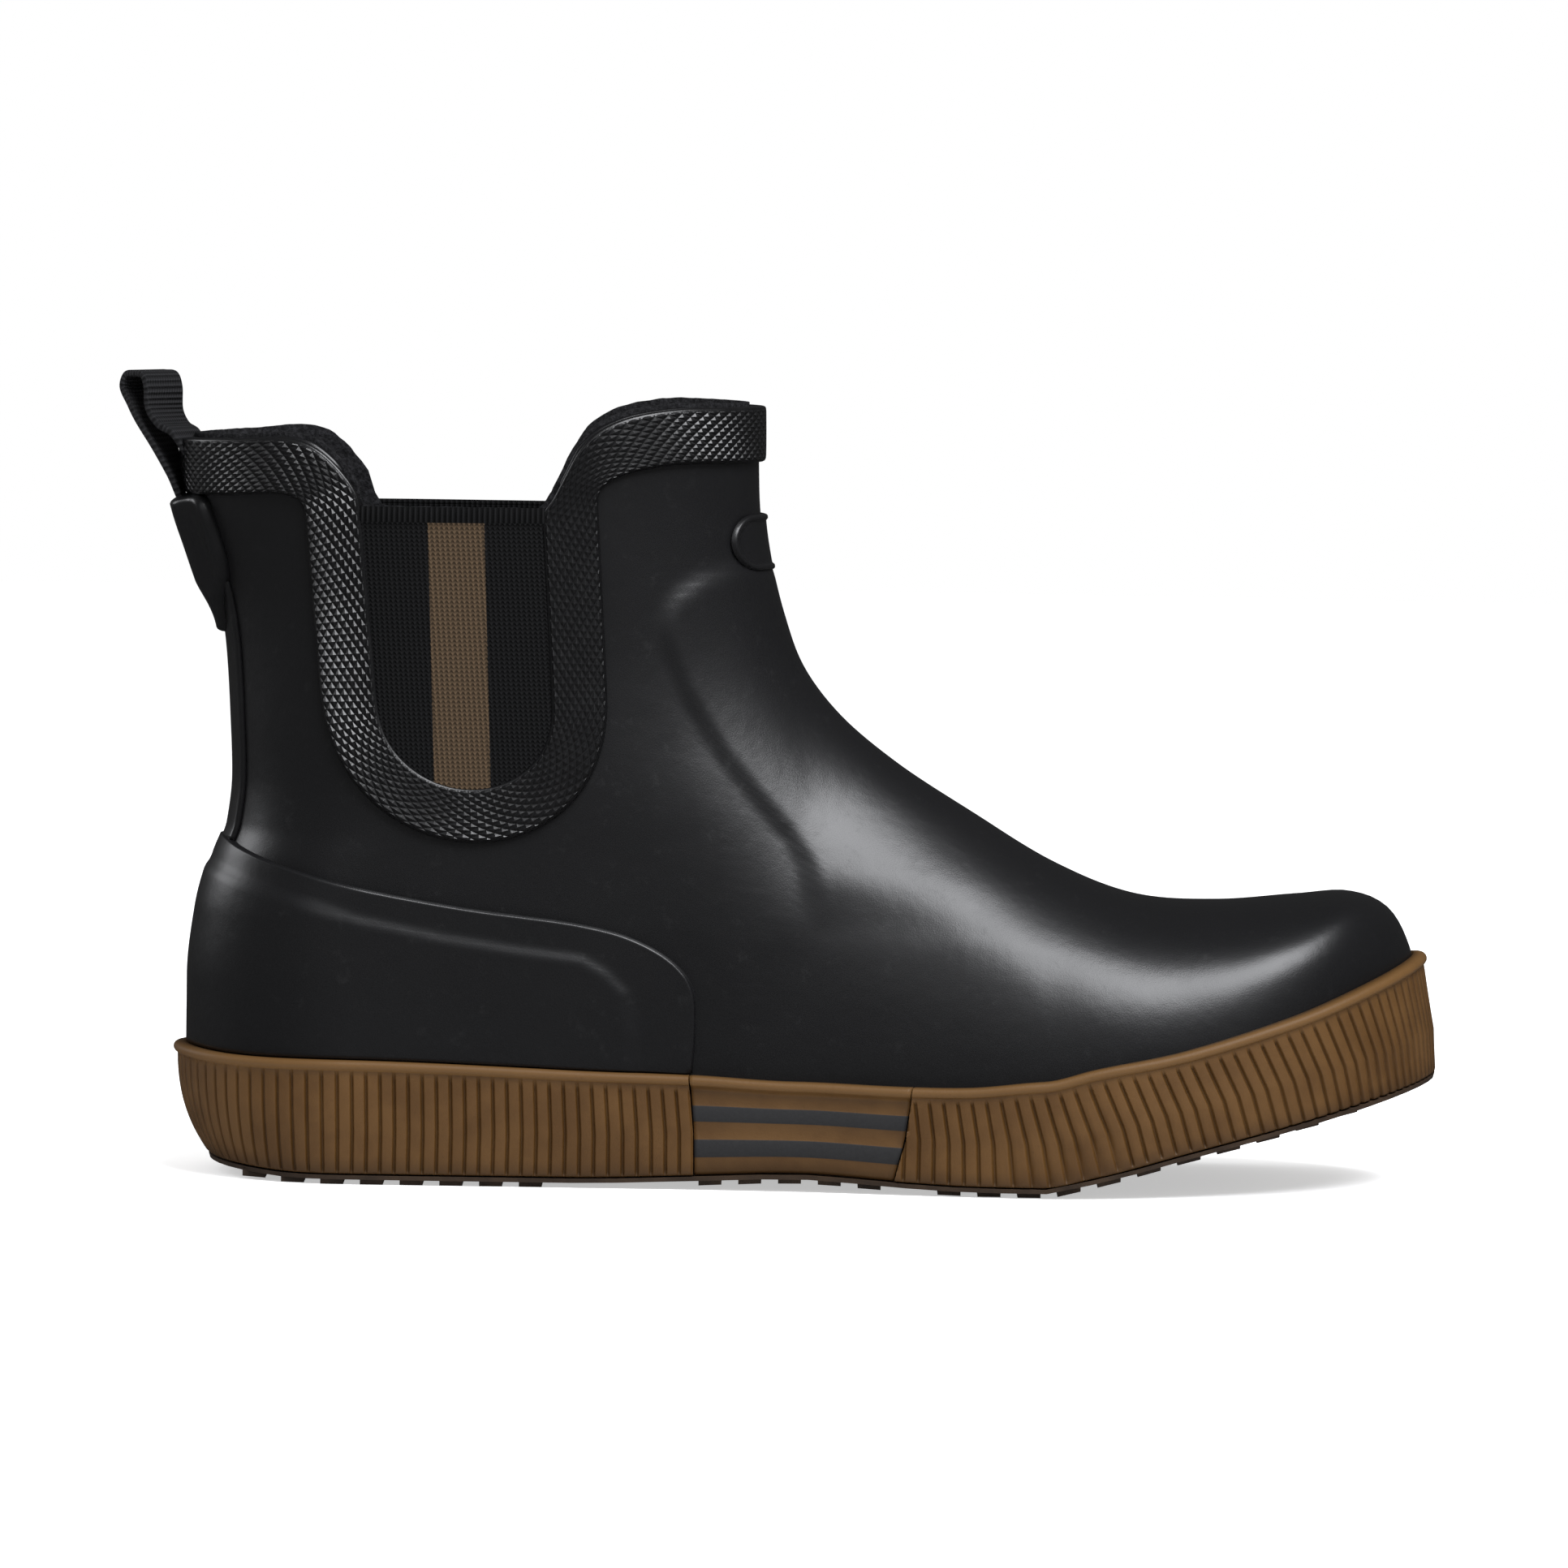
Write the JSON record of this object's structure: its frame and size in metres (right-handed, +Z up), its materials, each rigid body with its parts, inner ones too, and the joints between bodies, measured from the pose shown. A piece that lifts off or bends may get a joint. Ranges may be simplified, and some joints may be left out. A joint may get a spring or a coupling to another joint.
{
  "type": "short rubber boot",
  "caption": "Ankle-high rubber boot with elastic side gores, textured collar band, heel pull loop and a ribbed gum side wall on a lugged sole.",
  "frame": {"origin": "on the floor, on the underside of the third tread block from the back of the heel, on the centre line of the heel", "axes": "+X from heel to toe, +Y to the inner side of the foot, +Z up"},
  "size_m": [0.3027, 0.1, 0.1829],
  "materials": {
    "black_rubber": "smooth matt-to-satin vulcanised rubber",
    "textured_rubber": "rubber moulded with small raised diamonds, satin",
    "gum_rubber": "gum-brown rubber, semi-matt",
    "elastic_knit": "fine ribbed elastic with one woven stripe",
    "webbing": "ribbed woven tape",
    "footbed": "brushed textile over a foam footbed"
  },
  "bodies": {
    "root": {"outsole": "gum_rubber", "insole": "footbed", "rand_heel": "gum_rubber", "rand_toe": "gum_rubber", "rand_waist_outer": "gum_rubber", "rand_waist_inner": "gum_rubber", "upper": "black_rubber", "heel_counter": "black_rubber", "back_strip": "black_rubber", "collar_band": "textured_rubber", "gore_outer": "elastic_knit", "gore_inner": "elastic_knit", "pull_tab": "black_rubber", "pull_loop": "webbing", "badge": "black_rubber"}
  },
  "joints": []
}
